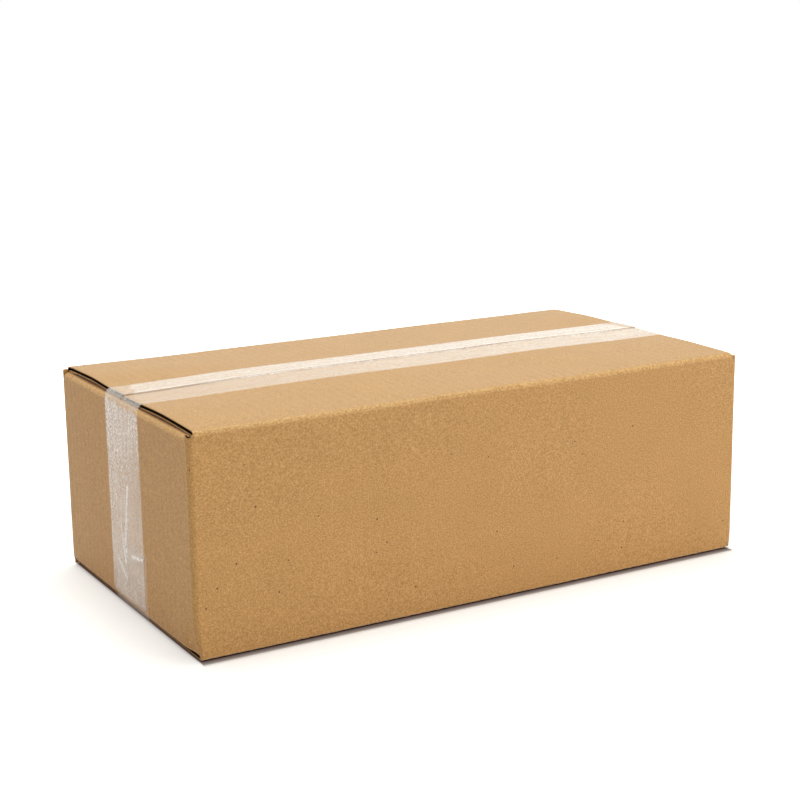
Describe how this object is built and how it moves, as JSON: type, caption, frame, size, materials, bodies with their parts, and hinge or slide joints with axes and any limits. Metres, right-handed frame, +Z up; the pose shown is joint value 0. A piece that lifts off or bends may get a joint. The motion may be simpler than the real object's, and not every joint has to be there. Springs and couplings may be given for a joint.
{
  "type": "moving box",
  "caption": "Closed slotted carton of brown corrugated board, long and low, with its flaps folded shut and clear packing tape along the top and bottom seams and down both ends.",
  "frame": {"origin": "middle of the box's footprint, on the surface that it stands on", "axes": "+X along the box, +Y across it to the back, +Z up"},
  "size_m": [0.356, 0.1876, 0.1246],
  "materials": {
    "kraft_board": "matt brown kraft liner, lightly mottled",
    "clear_tape": "clear film, cloudy with trapped air where it is stuck down"
  },
  "bodies": {
    "root": {"carton": "kraft_board", "bottom_tape": "clear_tape", "top_tape": "clear_tape"}
  },
  "joints": []
}
